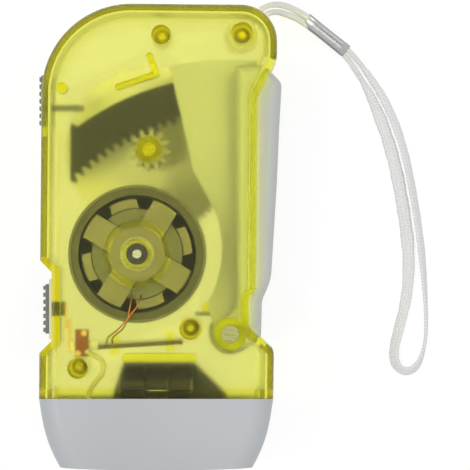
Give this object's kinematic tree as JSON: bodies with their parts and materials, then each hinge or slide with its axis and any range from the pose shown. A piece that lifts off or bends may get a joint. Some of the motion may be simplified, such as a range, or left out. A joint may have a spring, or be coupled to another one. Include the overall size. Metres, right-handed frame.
{
  "type": "squeeze dynamo flashlight",
  "caption": "Pocket flashlight with a squeeze lever that spins a dynamo through gears, in a clear yellow housing with a grey lamp head, slide switch, lever lock and wrist strap.",
  "frame": {"origin": "centre of the bottom of the torch without its strap, lying on its broad back face", "axes": "+Z out of the broad front face, +Y towards the strap end, -Y the way the lamp shines, +X towards the squeeze lever"},
  "size_m": [0.0891, 0.1067, 0.038],
  "materials": {
    "clear_yellow_plastic": "clear yellow, faintly frosted",
    "grey_plastic": "fine satin moulding",
    "dark_grey_plastic": "satin",
    "black_plastic": "satin",
    "white_nylon": "satin",
    "clear_lens": "polished clear styrene",
    "bright_metallised": "metallised plastic",
    "led_clear": "water clear epoxy",
    "board_brown": "phenolic paper board",
    "red_fibre": "red brown fibre strip",
    "cream_insulation": "soft insulated wire",
    "steel": "plain",
    "magnet": "pressed ferrite",
    "claw_steel": "zinc plated sheet",
    "copper": "enamelled wire",
    "brass": "plain",
    "cell_sleeve": "dark sleeve on a steel can",
    "strap_white": "braided polyester"
  },
  "bodies": {
    "root": {"front_shell": "clear_yellow_plastic", "rear_shell": "clear_yellow_plastic", "head_cap": "grey_plastic", "lens": "clear_lens", "reflector": "bright_metallised", "led_board": "board_brown", "pivot_pin": "steel", "return_spring": "steel", "gear_axle": "steel", "flywheel_shaft": "steel", "stator_front": "claw_steel", "stator_rear": "claw_steel", "stator_core": "steel", "bobbin": "black_plastic", "coil_winding": "copper", "coil_wires": "copper", "stator_bush": "black_plastic", "shell_screws": "steel", "switch_plate": "grey_plastic", "switch_contact": "brass", "contact_block": "white_nylon", "terminal_strip": "red_fibre", "terminal_screws": "brass", "lamp_wire": "cream_insulation", "cell_holder": "black_plastic", "lamp_board": "board_brown", "strap": "strap_white", "strap_root": "strap_white", "strap_clip": "steel", "led_1": "led_clear", "led_2": "led_clear", "led_3": "led_clear", "button_cell_1": "cell_sleeve", "button_cell_2": "cell_sleeve", "button_cell_3": "cell_sleeve"},
    "lever": {"lever": "grey_plastic", "sector_gear": "black_plastic", "sector_rivets": "steel"},
    "gear": {"drive_gear": "white_nylon", "drive_pinion": "white_nylon"},
    "flywheel": {"flywheel": "black_plastic", "magnet_ring": "magnet"},
    "switch": {"switch_button": "dark_grey_plastic", "switch_wiper": "brass"},
    "lock": {"lock_slider": "dark_grey_plastic"}
  },
  "joints": [
    {"name": "lever_squeeze", "type": "hinge", "parent": "root", "child": "lever", "pos_m": [0.01576, -0.0221, 0.019], "axis": [0, 0, -1], "range_deg": [0, 17]},
    {"name": "gear_spin", "type": "hinge", "parent": "root", "child": "gear", "pos_m": [-0.00261, 0.01953, 0.012], "axis": [0, 0, -1], "range_deg": [0, 205.17]},
    {"name": "flywheel_spin", "type": "hinge", "parent": "root", "child": "flywheel", "pos_m": [-0.0052, -0.00408, 0.02], "axis": [0, 0, -1], "range_deg": [-943, 0]},
    {"name": "switch_slide", "type": "slide", "parent": "root", "child": "switch", "axis": [0, -1, 0], "range_m": [0, 0.0018]},
    {"name": "lock_slide", "type": "slide", "parent": "root", "child": "lock", "axis": [0, -1, 0], "range_m": [0, 0.002]}
  ],
  "couplings": [
    {"joint": "gear_spin", "follows": "lever_squeeze", "ratio": 11.833},
    {"joint": "flywheel_spin", "follows": "lever_squeeze", "ratio": -54.294}
  ]
}
